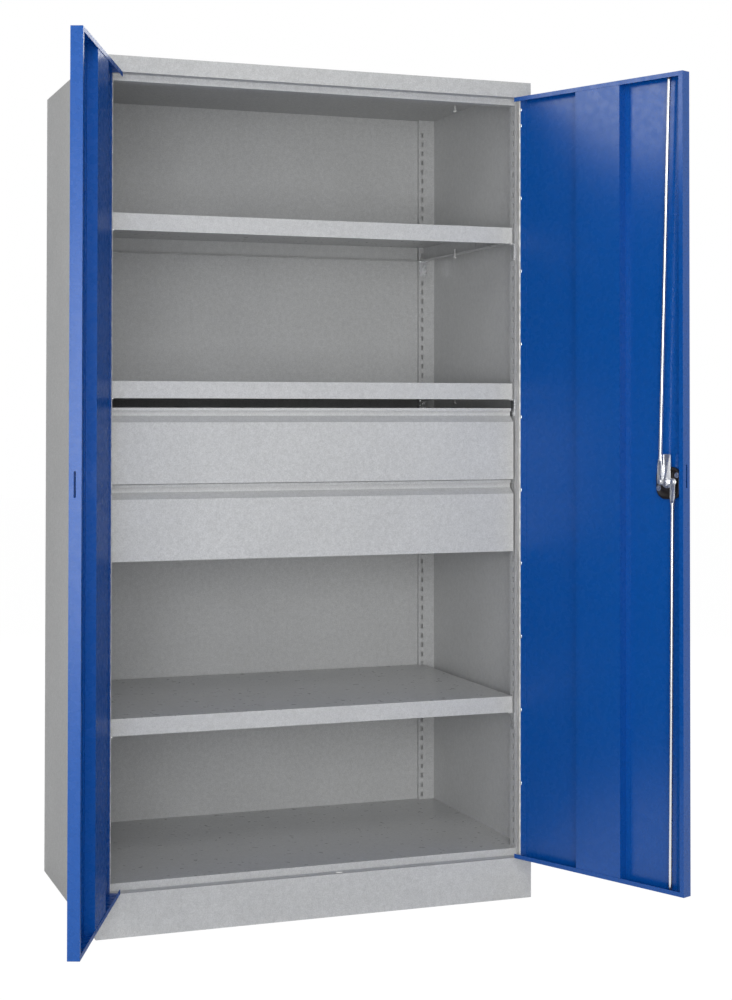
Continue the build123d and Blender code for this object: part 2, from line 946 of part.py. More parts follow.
with BuildPart() as escutcheon:
    lock_disc(lock_u, door_middle, escutcheon_radius, (-escutcheon_height, 0))
    outer_face = escutcheon.faces().sort_by(Axis(lock_plate(0).origin, lock_plate(0).z_dir))[0]
    chamfer(outer_face.edges(), escutcheon_chamfer)
    lock_disc(lock_u, door_middle, housing_bore, (-escutcheon_height - 1, 1), Mode.SUBTRACT)
save(escutcheon, "lock_escutcheon")

# Turning grip on the outside, with a pocket for the key cylinder
grip_foot = -escutcheon_height - 0.3
grip_face = grip_foot - grip_height
with BuildPart() as turning_grip:
    with BuildSketch(lock_plate(grip_foot)):
        Circle(grip_post_radius)
    extrude(amount=-grip_height / 2)
    with BuildSketch(lock_plate(grip_foot - grip_height / 3)):
        SlotOverall(grip_length, grip_width, rotation=90)
    extrude(amount=-grip_height * 2 / 3)
    face_edges = turning_grip.faces().sort_by(Axis(lock_plate(0).origin, lock_plate(0).z_dir))[0].edges()
    chamfer(face_edges, grip_chamfer)
    with BuildSketch(lock_plate(grip_face - 1)):
        Circle(cylinder_radius + hinge_bore_gap)
    extrude(amount=grip_height - 6, mode=Mode.SUBTRACT)
save(turning_grip, "turning_grip")

with BuildPart() as cylinder:
    with BuildSketch(lock_plate(grip_face - cylinder_stand)):
        Circle(cylinder_radius)
    extrude(amount=grip_height - 7.5 + cylinder_stand)
    with BuildSketch(lock_plate(grip_face - cylinder_stand - 1)):
        Rectangle(keyhole_width, keyhole_length)
    extrude(amount=keyhole_depth + 1, mode=Mode.SUBTRACT)
save(cylinder, "key_cylinder")

with BuildPart() as spindle:
    with BuildSketch(lock_plate(grip_foot)):
        Rectangle(2 * spindle_half, 2 * spindle_half)
    extrude(amount=cam_high - grip_foot)
save(spindle, "lock_spindle")

# Cam plate: hub, two ears that push the rods, and the tongue that reaches into the other door
with BuildPart() as cam:
    with BuildSketch(lock_plate(cam_low)):
        Circle(cam_hub_radius)
        with Locations((-rod_throw, 0), (rod_throw, 0)):
            Circle(cam_ear_radius)
        with Locations((0, (tongue_length - tongue_corner) / 2)):
            RectangleRounded(2 * tongue_half_width, tongue_length + tongue_corner, tongue_corner)
        Rectangle(2 * (spindle_half + spindle_gap), 2 * (spindle_half + spindle_gap), mode=Mode.SUBTRACT)
    extrude(amount=cam_sheet)
save(cam, "lock_cam")

with BuildPart() as nut:
    with BuildSketch(lock_plate(cam_high)):
        RegularPolygon(nut_radius, 6)
    extrude(amount=nut_height)
save(nut, "spindle_nut")

with BuildPart() as pivots:
    for step in (-1, 1):
        head = cam_high + 0.1 + rod_eye_sheet + 0.1
        lock_disc(lock_u + step * rod_throw, door_middle, pivot_radius, (cam_high, head))
        lock_disc(
            lock_u + step * rod_throw, door_middle, pivot_head_radius, (head, head + pivot_head_height)
        )
save(pivots, "rod_pivot_pins")


def rod(name, step, end_z):
    """A round rod with a flattened, drilled end on a cam ear and its far end in a door flange."""
    pivot = door_point(lock_side, lock_hand, lock_u + step * rod_throw, rod_level, door_middle)
    tip = door_point(lock_side, lock_hand, rod_u, rod_level, end_z)
    along, inward = door_directions(lock_side, lock_hand)
    run = (tip - pivot).normalized()
    length = (tip - pivot).length
    eye_low = -rod_eye_sheet / 2
    with BuildPart() as piece:
        flat = Plane(origin=pivot + inward * eye_low, x_dir=run, z_dir=inward)
        with BuildSketch(flat):
            Circle(rod_eye_width / 2)
            with Locations((rod_eye_length / 2, 0)):
                Rectangle(rod_eye_length, rod_eye_width)
            Circle(pivot_radius + hinge_bore_gap, mode=Mode.SUBTRACT)
        extrude(amount=rod_eye_sheet)
        side_dir = run.cross(inward)
        neck_plane = Plane(origin=pivot + run * rod_eye_length, x_dir=side_dir, z_dir=run)
        round_plane = Plane(origin=pivot + run * (rod_eye_length + rod_neck), x_dir=side_dir, z_dir=run)
        with BuildSketch(neck_plane):
            Rectangle(rod_eye_width, rod_eye_sheet)
        with BuildSketch(round_plane):
            Rectangle(1.6 * rod_radius, 1.6 * rod_radius)
        loft()
        with BuildSketch(round_plane.offset(-rod_neck / 4)):
            Circle(rod_radius)
        extrude(amount=length - rod_eye_length - rod_neck * 3 / 4)
    save(piece, name)


rod("upper_rod", -1, door_top - rod_retract)
rod("lower_rod", 1, door_bottom + rod_retract)
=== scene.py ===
# %% [markdown]
# A tall steel cabinet stands with both doors open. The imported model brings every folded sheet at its
# real size, so this lesson spends its effort on what the eye reads next: paint, plating, the fine
# hinge, the lock and the light. The frame is loaded first, because every later piece takes its
# place from it.

# %% Load the frame
import json
import math

import bpy
from mathutils import Matrix, Vector


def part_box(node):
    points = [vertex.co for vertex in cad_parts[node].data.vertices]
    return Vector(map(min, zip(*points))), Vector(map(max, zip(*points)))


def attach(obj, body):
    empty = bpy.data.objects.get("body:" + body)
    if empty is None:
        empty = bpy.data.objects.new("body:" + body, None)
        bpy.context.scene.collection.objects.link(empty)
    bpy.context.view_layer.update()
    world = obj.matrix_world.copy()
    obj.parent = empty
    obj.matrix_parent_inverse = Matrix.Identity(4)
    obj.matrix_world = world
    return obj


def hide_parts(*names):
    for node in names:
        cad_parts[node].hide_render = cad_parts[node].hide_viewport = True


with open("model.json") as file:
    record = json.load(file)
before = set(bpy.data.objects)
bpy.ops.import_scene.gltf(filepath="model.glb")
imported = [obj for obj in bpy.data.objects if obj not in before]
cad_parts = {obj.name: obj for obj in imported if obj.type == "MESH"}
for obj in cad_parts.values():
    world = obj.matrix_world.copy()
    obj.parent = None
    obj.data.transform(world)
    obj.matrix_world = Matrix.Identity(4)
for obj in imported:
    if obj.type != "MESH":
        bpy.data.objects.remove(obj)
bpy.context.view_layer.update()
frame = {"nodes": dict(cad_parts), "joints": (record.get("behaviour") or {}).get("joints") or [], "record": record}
joints = {joint["name"]: joint for joint in frame["joints"]}
MM = 0.001

# %% [markdown]
# The picture was taken from the left of the middle, at chest height and about four metres away, with
# the camera almost level. It was framed with the optical axis above its centre, which keeps upright
# edges upright, so the camera is almost level here too and the lens shift does the framing.

# %% Camera
CAMERA_PLACE = (-1.3439, -3.9838, 1.1646)
CAMERA_YAW = 20.042
CAMERA_PITCH = 0.917
CAMERA_ROLL = -0.0645
FOCAL_PIXELS = 1820.34
FRAME_PIXELS = (732, 1000)
AXIS_PIXEL = (366.0, 380.31)
SENSOR_WIDTH = 36.0

camera_data = bpy.data.cameras.new("photo_camera")
camera_data.sensor_width = SENSOR_WIDTH
camera_data.lens = SENSOR_WIDTH * FOCAL_PIXELS / FRAME_PIXELS[1]
camera_data.shift_x = (FRAME_PIXELS[0] / 2 - AXIS_PIXEL[0]) / FRAME_PIXELS[1]
camera_data.shift_y = (AXIS_PIXEL[1] - FRAME_PIXELS[1] / 2) / FRAME_PIXELS[1]
camera = bpy.data.objects.new("photo_camera", camera_data)
camera.location = CAMERA_PLACE
camera.rotation_euler = (
    math.radians(90 + CAMERA_PITCH),
    math.radians(CAMERA_ROLL),
    math.radians(-CAMERA_YAW),
)
bpy.context.collection.objects.link(camera)
bpy.context.scene.camera = camera
bpy.context.scene.view_settings.view_transform = "Standard"
print("camera lens", round(camera_data.lens, 1), "mm at", CAMERA_PLACE)

# %% [markdown]
# Studio light for a product picture is broad and soft. Three large lamps, beside the camera and
# further left, do most of the work in front, so the inside of the right door and the edge of the
# left one face the light. Two high ones above the front reach down to the shelf tops. A small one on
# the left, high and further back, is what the open right door mirrors near its top, and two lamps
# behind the cabinet serve the views from the back and the right side.
# The room is pure white where a ray meets it from the camera, in a reflection or through glass, and
# much dimmer as a light source, so pale paint keeps its tone.

# %% World and lamps
ROOM_LIGHT = 0.16
world = bpy.data.worlds.new("studio_room")
world.use_nodes = True
bpy.context.scene.world = world


def wire(tree, kind, inputs=None, **links):
    """Add a node, set plain input values by name or number, and link other nodes' outputs to it."""
    node = tree.nodes.new(kind)
    for socket, value in (inputs or {}).items():
        node.inputs[socket].default_value = value
    for socket, output in links.items():
        tree.links.new(output, node.inputs[socket])
    return node


def seen_share(tree):
    """One for camera, glossy and transmission rays, and zero for the light that a surface receives."""
    path = tree.nodes.new("ShaderNodeLightPath")
    total = path.outputs["Is Camera Ray"]
    for ray in ("Is Glossy Ray", "Is Transmission Ray"):
        highest = tree.nodes.new("ShaderNodeMath")
        highest.operation = "MAXIMUM"
        tree.links.new(total, highest.inputs[0])
        tree.links.new(path.outputs[ray], highest.inputs[1])
        total = highest.outputs["Value"]
    return total


room = world.node_tree
room.nodes.clear()
room_fill = wire(room, "ShaderNodeBackground", {"Color": (1.0, 1.0, 1.0, 1.0), "Strength": ROOM_LIGHT})
room_white = wire(room, "ShaderNodeBackground", {"Color": (1.0, 1.0, 1.0, 1.0), "Strength": 1.0})
room_mix = wire(room, "ShaderNodeMixShader", Fac=seen_share(room))
room.links.new(room_fill.outputs["Background"], room_mix.inputs[1])
room.links.new(room_white.outputs["Background"], room_mix.inputs[2])
wire(room, "ShaderNodeOutputWorld", Surface=room_mix.outputs["Shader"])


def soft_lamp(name, place, aim, size, power):
    """A rectangular lamp at a place, turned towards a point."""
    lamp_data = bpy.data.lights.new(name, "AREA")
    lamp_data.shape = "RECTANGLE"
    lamp_data.size, lamp_data.size_y = size
    lamp_data.energy = power
    lamp = bpy.data.objects.new(name, lamp_data)
    lamp.location = place
    lamp.rotation_euler = (Vector(aim) - Vector(place)).to_track_quat("-Z", "Y").to_euler()
    bpy.context.collection.objects.link(lamp)
    print(name, power, "W")


soft_lamp("camera_lamp", (-1.3, -4.4, 1.3), (0.0, 0.0, 1.0), (2.2, 1.8), 72)
soft_lamp("left_front_lamp", (-2.5, -3.9, 1.0), (0.3, 0.0, 0.9), (1.4, 1.6), 32)
soft_lamp("left_lamp", (-3.4, -2.4, 1.7), (0.2, 0.0, 1.0), (1.6, 2.0), 7)
soft_lamp("high_lamp", (-0.4, -4.4, 2.9), (0.0, 0.0, 1.0), (2.6, 1.4), 22)
soft_lamp("top_front_lamp", (-0.7, -3.2, 3.6), (0.0, 0.2, 0.8), (1.6, 1.0), 22)
soft_lamp("mirror_lamp", (-3.6, 0.7, 2.75), (0.5, -0.2, 1.5), (1.2, 0.9), 19)
soft_lamp("back_lamp", (1.6, 4.2, 2.4), (0.0, 0.3, 1.0), (2.4, 2.0), 80)
soft_lamp("right_back_lamp", (4.4, 1.6, 2.0), (0.4, 0.2, 1.0), (2.0, 2.0), 60)

# %% [markdown]
# The floor is a plain pale sheet. For the camera and for reflections it is mixed with its own light,
# which lets it fade into the white background and still keep a trace of the cabinet's shadow.

# %% Floor
FLOOR_SIZE = 40.0
FLOOR_COLOUR = (0.86, 0.86, 0.86, 1.0)
FLOOR_GLOW = 1.05
FLOOR_GLOW_SHARE = 0.94

bpy.ops.object.select_all(action="DESELECT")
bpy.ops.mesh.primitive_plane_add(size=FLOOR_SIZE, location=(0.0, 0.0, 0.0))
floor = bpy.context.object
floor.name = "studio_floor"
floor_material = bpy.data.materials.new("floor_white")
floor_material.use_nodes = True
floor_tree = floor_material.node_tree
floor_tree.nodes.clear()
floor_share = wire(floor_tree, "ShaderNodeMath", {1: FLOOR_GLOW_SHARE})
floor_share.operation = "MULTIPLY"
floor_tree.links.new(seen_share(floor_tree), floor_share.inputs[0])
floor_paint = wire(floor_tree, "ShaderNodeBsdfDiffuse", {"Color": FLOOR_COLOUR})
floor_glow = wire(floor_tree, "ShaderNodeEmission", {"Strength": FLOOR_GLOW})
floor_mix = wire(floor_tree, "ShaderNodeMixShader", Fac=floor_share.outputs["Value"])
floor_tree.links.new(floor_paint.outputs["BSDF"], floor_mix.inputs[1])
floor_tree.links.new(floor_glow.outputs["Emission"], floor_mix.inputs[2])
wire(floor_tree, "ShaderNodeOutputMaterial", Surface=floor_mix.outputs["Shader"])
floor.data.materials.append(floor_material)
print("floor", floor.name)

# %% [markdown]
# Powder coat is a baked plastic skin. Close up it has an orange-peel relief and a fine speckle, and
# over a hand's width it is a little cloudy, because the powder never settles quite evenly. A picture
# or a hand-painted map could show that, but noise at several scales follows every sheet without
# seams: one tints the grain, one the clouds and one the drift across a whole sheet, a fourth moves
# the gloss, and a fifth is the relief. Each scale is in lumps for each metre.
# A textured skin also mirrors less at a flat angle than a smooth one would, so its shine falls off
# there. The shelves are sprayed lying flat and come out smoother, with a blurred mirror image.

# %% Powder coat
GRAIN_SCALE = 420.0
CLOUD_SCALE = 95.0
DRIFT_SCALE = 5.0
GLOSS_SCALE = 60.0
PEEL_SCALE = 260.0
PEEL_HEIGHT = 0.5 * MM
FLAT_FROM = 0.60
FLAT_TO = 0.82
TINT_LOW = 0.5
TINT_HIGH = 1.5


def new_material(name):
    """A principled material, its node tree, its shader and its object coordinates."""
    material = bpy.data.materials.new(name)
    material.use_nodes = True
    tree = material.node_tree
    where = tree.nodes.new("ShaderNodeTexCoord").outputs["Object"]
    return material, tree, tree.nodes["Principled BSDF"], where


def noise(tree, vector, scale, detail=2.0):
    """A noise pattern's value at a scale, in lumps for each metre."""
    node = wire(tree, "ShaderNodeTexNoise", {"Scale": scale, "Detail": detail}, Vector=vector)
    return node.outputs["Fac"]


def spread(tree, value, low, high, start=0.3, end=0.7):
    """Stretch a noise value to a range."""
    ends = {"From Min": start, "From Max": end, "To Min": low, "To Max": high}
    return wire(tree, "ShaderNodeMapRange", ends, Value=value).outputs["Result"]


def times(tree, first, second):
    """Multiply two values."""
    node = tree.nodes.new("ShaderNodeMath")
    node.operation = "MULTIPLY"
    tree.links.new(first, node.inputs[0])
    tree.links.new(second, node.inputs[1])
    return node.outputs["Value"]


def blend_colours(tree, first, second, share):
    """Mix two plain colours by a value."""
    node = tree.nodes.new("ShaderNodeMix")
    node.data_type = "RGBA"
    node.inputs["A"].default_value = (*first, 1.0)
    node.inputs["B"].default_value = (*second, 1.0)
    tree.links.new(share, node.inputs["Factor"])
    return node.outputs["Result"]


def scaled(colour, factor):
    """A colour made darker or lighter."""
    return [factor * value for value in colour]


def powder_coat(name, colour, gloss, shine, flat_shine, speckle, cloud, peel):
    """Powder-coated steel: colour, roughness, shine face on and at a flat angle, pattern strengths."""
    material, tree, paint, where = new_material(name)
    facing = wire(tree, "ShaderNodeLayerWeight", {"Blend": 0.5}).outputs["Facing"]
    level = spread(tree, facing, shine, flat_shine, FLAT_FROM, FLAT_TO)
    tree.links.new(level, paint.inputs["Specular IOR Level"])
    grain = spread(tree, noise(tree, where, GRAIN_SCALE, 3.0), 1 - speckle, 1 + speckle)
    clouds = spread(tree, noise(tree, where, CLOUD_SCALE), 1 - cloud, 1 + cloud)
    drift = spread(tree, noise(tree, where, DRIFT_SCALE), 1 - cloud / 2, 1 + cloud / 2)
    strength = times(tree, times(tree, grain, clouds), drift)
    tint = spread(tree, strength, 0.0, 1.0, TINT_LOW, TINT_HIGH)
    colours = blend_colours(tree, scaled(colour, TINT_LOW), scaled(colour, TINT_HIGH), tint)
    tree.links.new(colours, paint.inputs["Base Color"])
    rough = spread(tree, noise(tree, where, GLOSS_SCALE), gloss - 0.03, gloss + 0.04)
    tree.links.new(rough, paint.inputs["Roughness"])
    lumps = noise(tree, where, PEEL_SCALE)
    relief = wire(tree, "ShaderNodeBump", {"Strength": peel, "Distance": PEEL_HEIGHT}, Height=lumps)
    tree.links.new(relief.outputs["Normal"], paint.inputs["Normal"])
    return material


GREY = (0.535, 0.54, 0.54)
BLUE = (0.002, 0.080, 0.36)
grey_coat = powder_coat(
    "grey_powder_coat", GREY, gloss=0.36, shine=0.30, flat_shine=0.01,
    speckle=0.12, cloud=0.05, peel=0.22,
)
shelf_coat = powder_coat(
    "shelf_powder_coat", GREY, gloss=0.30, shine=0.40, flat_shine=0.40,
    speckle=0.12, cloud=0.05, peel=0.10,
)
blue_coat = powder_coat(
    "blue_powder_coat", BLUE, gloss=0.27, shine=0.42, flat_shine=0.01,
    speckle=0.05, cloud=0.02, peel=0.04,
)
print("coats", grey_coat.name, shelf_coat.name, blue_coat.name)

# %% [markdown]
# Small fittings are zinc plated: bright, a little blue, with the drawn lines of cold-rolled steel and
# a patchy crystal bloom. The rolled hinge is thinner strip with a satin skin. Pure metal shows
# little but its surroundings, which are dark inside a cabinet, so the strip and the shelf screws
# are only partly metallic and keep a pale haze. The lock body and the grip are black moulded
# plastic with a fine spark-eroded grain. Each recipe stretches or scales a noise, and lets it move
# both the colour and the roughness, because a worn patch differs in both.

# %% Plating and plastic
BLOOM_SCALE = 130.0
DRAWN_LINE_HEIGHT = 0.3 * MM
ERODED_SCALE = 1500.0
ERODED_HEIGHT = 0.2 * MM
HANDLING_SCALE = 45.0


def plated_steel(name, colour, roughness, line_scale=(900.0, 900.0, 25.0), metallic=1.0):
    """Zinc plate over drawn steel: lines that run upright, and a patchy bloom."""
    material, tree, metal, where = new_material(name)
    metal.inputs["Metallic"].default_value = metallic
    stretch = wire(tree, "ShaderNodeMapping", {"Scale": line_scale}, Vector=where)
    lines = noise(tree, stretch.outputs["Vector"], 1.0, 3.0)
    bloom = noise(tree, where, BLOOM_SCALE, 3.0)
    both = times(tree, spread(tree, lines, 0.55, 1.0), spread(tree, bloom, 0.6, 1.0))
    tree.links.new(blend_colours(tree, scaled(colour, 0.66), colour, both), metal.inputs["Base Color"])
    rough = spread(tree, both, roughness + 0.12, roughness - 0.04, 0.3, 1.0)
    tree.links.new(rough, metal.inputs["Roughness"])
    depth = {"Strength": 0.12, "Distance": DRAWN_LINE_HEIGHT}
    relief = wire(tree, "ShaderNodeBump", depth, Height=lines)
    tree.links.new(relief.outputs["Normal"], metal.inputs["Normal"])
    return material


def moulded_plastic(name, colour, roughness):
    """Injection-moulded plastic with a fine eroded grain and a faint handling sheen."""
    material, tree, plastic, where = new_material(name)
    plastic.inputs["Specular IOR Level"].default_value = 0.3
    grain = noise(tree, where, ERODED_SCALE)
    wear = noise(tree, where, HANDLING_SCALE)
    tones = blend_colours(tree, scaled(colour, 0.8), scaled(colour, 1.4), grain)
    tree.links.new(tones, plastic.inputs["Base Color"])
    rough = spread(tree, times(tree, grain, wear), roughness + 0.08, roughness - 0.06, 0.1, 0.4)
    tree.links.new(rough, plastic.inputs["Roughness"])
    depth = {"Strength": 0.2, "Distance": ERODED_HEIGHT}
    relief = wire(tree, "ShaderNodeBump", depth, Height=grain)
    tree.links.new(relief.outputs["Normal"], plastic.inputs["Normal"])
    return material


zinc = plated_steel("zinc_plate", (0.83, 0.84, 0.86), 0.24)
bright_zinc = plated_steel("bright_zinc_screw", (0.98, 0.98, 0.98), 0.16, metallic=0.35)
hinge_strip = plated_steel("satin_zinc_strip", (0.84, 0.82, 0.79), 0.52, (300.0, 300.0, 8.0), 0.35)
black_plastic = moulded_plastic("black_moulded", (0.010, 0.008, 0.008), 0.34)
print("metals and plastic", zinc.name, hinge_strip.name, black_plastic.name)

# %% [markdown]
# Every sheet keeps its own mesh, so painting it is only a change of material. The record's slots
# already say which finish a node takes, and one table turns those slots into the finishes above. The
# floor shelf is sprayed lying flat as the loose shelves are, so it takes their coat.

# %% Paint the sheets
FINISHES = {
    "body_paint": grey_coat,
    "shelf_paint": shelf_coat,
    "drawer_paint": grey_coat,
    "door_paint": blue_coat,
    "zinc_plate": zinc,
    "lock_plastic": black_plastic,
}
slots = {}
bodies = {}
for subpart in frame["record"]["subparts"]:
    node = frame["nodes"][subpart["node"]]
    slots[subpart["node"]] = subpart["material_slot"]
    node.data.materials.clear()
    node.data.materials.append(FINISHES[subpart["material_slot"]])
frame["nodes"]["floor_shelf"].data.materials[0] = shelf_coat
for body, members in frame["record"]["behaviour"]["bodies"].items():
    for name in members:
        bodies[name] = body

# %% [markdown]
# Six small helpers serve all the modelling below. Two leave edit mode and select nothing or a single
# piece. One selects edges or faces by a rule and opens edit mode, and one applies a modifier. One
# finishes a piece: its place goes into its mesh, it is smoothed where its faces meet at a low angle,
# it is hung on the body it rides on, and the imported solids it stands for are hidden. The last
# rounds the edges of a imported solid's copy.

# %% Helpers for modelling
DOUBLES_REACH = 0.002 * MM
FLAT_ANGLE = 1.0
ROUNDED_ANGLE = 30.0
SELECT_MODES = {
    "edges": (False, True, False),
    "faces": (False, False, True),
}


def clear():
    """Leave edit mode and deselect everything."""
    if bpy.context.mode != "OBJECT":
        bpy.ops.object.mode_set(mode="OBJECT")
    bpy.ops.object.select_all(action="DESELECT")


def only(piece):
    """Select one piece alone."""
    clear()
    piece.select_set(True)
    bpy.context.view_layer.objects.active = piece


def pick(piece, kind, rule):
    """Select what a rule accepts, and leave the piece in edit mode."""
    only(piece)
    bpy.context.tool_settings.mesh_select_mode = SELECT_MODES[kind]
    mesh = piece.data
    for group in (mesh.vertices, mesh.edges, mesh.polygons):
        group.foreach_set("select", [False] * len(group))
    groups = {"edges": mesh.edges, "faces": mesh.polygons}
    chosen = [item for item in groups[kind] if rule(item)]
    for item in chosen:
        item.select = True
    bpy.ops.object.mode_set(mode="EDIT")
    return len(chosen)


def modify(piece, kind, **values):
    """Add a modifier with its values and apply it."""
    only(piece)
    modifier = piece.modifiers.new(kind.lower(), kind)
    for name, value in values.items():
        setattr(modifier, name, value)
    bpy.ops.object.modifier_apply(modifier=modifier.name)


def settle(piece, name, nodes, material=None, smooth=35.0, stands_for=True):
    """Fix the place, smooth by angle, paint, and take body and slot from the nodes it belongs to."""
    only(piece)
    bpy.ops.object.transform_apply(location=True, rotation=True, scale=True)
    bpy.ops.object.shade_smooth_by_angle(angle=math.radians(smooth))
    piece.name = name
    piece.data.name = name
    piece.data.materials.clear()
    piece.data.materials.append(material or FINISHES[slots[nodes[0]]])
    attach(piece, bodies[nodes[0]])
    if stands_for:
        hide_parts(*nodes)
    print(name, len(piece.data.polygons), "faces on", bodies[nodes[0]])


def softened(node, width, segments):
    """A new piece from a node's merged mesh, with its edges rounded."""
    piece = bpy.data.objects.new(node + "_soft", frame["nodes"][node].data.copy())
    bpy.context.collection.objects.link(piece)
    pick(piece, "faces", lambda face: True)
    bpy.ops.mesh.select_all(action="SELECT")
    bpy.ops.mesh.remove_doubles(threshold=DOUBLES_REACH)
    bpy.ops.mesh.dissolve_limited(angle_limit=math.radians(FLAT_ANGLE))
    limit = {"limit_method": "ANGLE", "angle_limit": math.radians(ROUNDED_ANGLE)}
    modify(piece, "BEVEL", width=width, segments=segments, **limit)
    return piece


# %% [markdown]
# The doors hang on continuous hinges: two thin strips whose edges are cut into fingers and rolled
# round one long pin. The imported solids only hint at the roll, with a few long barrels. Modelling each
# knuckle as a tube would lose the way in which the strip itself curls, so one finger is made as a
# sheet, its edge is spun round the pin, an Array repeats it down the door, and Solidify gives the
# strip its thickness last. The leaf on the door sits closer to the pin, so its strip has a low joggle.
# Spin turns clockwise for a positive angle here. With the wrong sign a finger would fold back on its
# own strip, and the even thickness would pull that fold into a spike past five millimetres. So the
# widest point near the pin is printed: a corner of the flat strip, at four to five millimetres.

# %% Rolled hinges
HINGE_FINGERS = 51
ROLL_TURN = 300.0
STRIP_THICKNESS = 1.0 * MM
ROLL_RADIUS = 2.5 * MM
ROLL_STEPS = 12
FINGER_GAP = 0.4 * MM
NEAR_PIN = 8.0 * MM
EDGE_REACH = 0.1 * MM
LEVEL_REACH = 0.05 * MM
ARRAY_REACH = 0.01 * MM
FRAME_PROFILE = ((2.5, 22.0), (2.5, 3.4), (2.5, 0.0))
DOOR_PROFILE = ((22.0, 1.5), (3.4, 1.5), (0.793, 2.371))


def hinge_strip_sheet(profile, turn, first):
    """A leaf and its finger rolled round the pin, as an open sheet.

    The profile gives the leaf's end, the finger's start and the roll's start, in millimetres.
    """
    leaf_end, leaf_start, roll_start = [Vector((x, y, 0.0)) * MM for x, y in profile]
    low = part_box("right_hinge_pin")[0][2]
    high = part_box("right_hinge_pin")[1][2]
    pitch = (high - low) / HINGE_FINGERS
    middle = (leaf_end + leaf_start) / 2
    across = leaf_start - leaf_end
    clear()
    bpy.ops.mesh.primitive_plane_add(size=1.0, location=(middle.x, middle.y, low + pitch / 2))
    sheet = bpy.context.object
    sheet.scale = (across.length, pitch, 1.0)
    sheet.rotation_euler = (math.radians(90), 0.0, math.atan2(across.y, across.x))
    only(sheet)
    bpy.ops.object.transform_apply(location=True, rotation=True, scale=True)
    finger_low = low + first * pitch / 2 + FINGER_GAP / 2
    finger_high = finger_low + pitch / 2 - FINGER_GAP
    for level in (finger_low, finger_high):
        pick(sheet, "faces", lambda face: True)
        bpy.ops.mesh.bisect(plane_co=(0.0, 0.0, level), plane_no=(0.0, 0.0, 1.0))

    def on_finger(edge):
        ends = [sheet.data.vertices[index].co for index in edge.vertices]
        near = all((end.xy - leaf_start.xy).length < EDGE_REACH for end in ends)
        heights = sorted(end.z for end in ends)
        above = heights[0] > finger_low - LEVEL_REACH
        below = heights[1] < finger_high + LEVEL_REACH
        return near and above and below

    count = pick(sheet, "edges", on_finger)
    shift = roll_start - leaf_start
    bpy.ops.mesh.extrude_region_move(TRANSFORM_OT_translate={"value": shift})
    bpy.ops.mesh.spin(
        steps=ROLL_STEPS, angle=math.radians(turn), center=(0.0, 0.0, 0.0), axis=(0.0, 0.0, 1.0)
    )
    only(sheet)
    modify(
        sheet,
        "ARRAY",
        count=HINGE_FINGERS,
        use_relative_offset=False,
        use_constant_offset=True,
        constant_offset_displace=(0.0, 0.0, pitch),
        use_merge_vertices=True,
        merge_threshold=ARRAY_REACH,
    )
    print("finger edges", count, "sheet faces", len(sheet.data.polygons))
    return sheet


def hinge_leaf(name, node, sheet, matrix):
    """Put a sheet in its place, give it thickness, and settle it."""
    only(sheet)
    sheet.matrix_world = matrix
    bpy.ops.object.transform_apply(location=True, rotation=True, scale=True)
    pick(sheet, "faces", lambda face: True)
    bpy.ops.mesh.select_all(action="SELECT")
    bpy.ops.mesh.normals_make_consistent(inside=False)
    modify(sheet, "SOLIDIFY", thickness=STRIP_THICKNESS, offset=0.0, use_even_offset=True)
    reaches = [(vertex.co.xy - matrix.translation.xy).length for vertex in sheet.data.vertices]
    widest = max(reach for reach in reaches if reach < NEAR_PIN)
    print("widest point near the pin", round(widest / MM, 2), "mm")
    settle(sheet, name, [node], hinge_strip)
    if "door" in node:
        sheet.data.materials.append(blue_coat)
        for face in sheet.data.polygons:
            from_pin = (face.center.xy - matrix.translation.xy).length
            face.material_index = 1 if from_pin > ROLL_RADIUS + STRIP_THICKNESS else 0


def place(origin, first, second, third):
    """A matrix from three directions and a point."""
    matrix = Matrix((first, second, third)).transposed().to_4x4()
    matrix.translation = origin
    return matrix


UP = Vector((0.0, 0.0, 1.0))
door_places = {}
for side, hand in (("left", -1), ("right", 1)):
    axis = Vector(joints[side + "_door_hinge"]["pos_m"])
    axis.z = 0.0
    angle = -math.radians(joints[side + "_door_hinge"]["range_deg"][0])
    along = Vector((-hand * math.cos(angle), -math.sin(angle), 0.0))
    inward = Vector((-hand * math.sin(angle), math.cos(angle), 0.0))
    door_places[side] = (axis, along, inward)
    frame_sheet = hinge_strip_sheet(FRAME_PROFILE, ROLL_TURN, 0)
    frame_place = place(axis, Vector((hand, 0.0, 0.0)), Vector((0.0, 1.0, 0.0)), UP)
    hinge_leaf(side + "_rolled_frame_leaf", side + "_hinge_frame_leaf", frame_sheet, frame_place)
    door_sheet = hinge_strip_sheet(DOOR_PROFILE, -ROLL_TURN, 1)
    door_place = place(axis, along, inward, UP)
    hinge_leaf(side + "_rolled_door_leaf", side + "_hinge_door_leaf", door_sheet, door_place)

# %% [markdown]
# The door's strip is held by a row of short welds beside the pin, bright where the paint doesn't take.
# A weld is a bead: half an ellipsoid with its flat side against the strip. A ball is stretched to the
# bead's size and cut through its middle, and the beads of one door are joined into one piece. The cut
# runs through points that the ball already has, and its fill then closes the hidden flat side of
# some beads and leaves that of others open, not the same ones each time. It can't be relied on here.

# %% Weld beads
BEAD_HALF = (2.2 * MM, 1.0 * MM, 4.6 * MM)
BEAD_PLACE = (4.8 * MM, 2.0 * MM)
TOP_BEAD = 1.883
NEXT_BEAD = 1.845
BEAD_PITCH = 0.1745
PITCHED_BEADS = 10
BEAD_LEVELS = [TOP_BEAD] + [NEXT_BEAD - BEAD_PITCH * step for step in range(PITCHED_BEADS)]


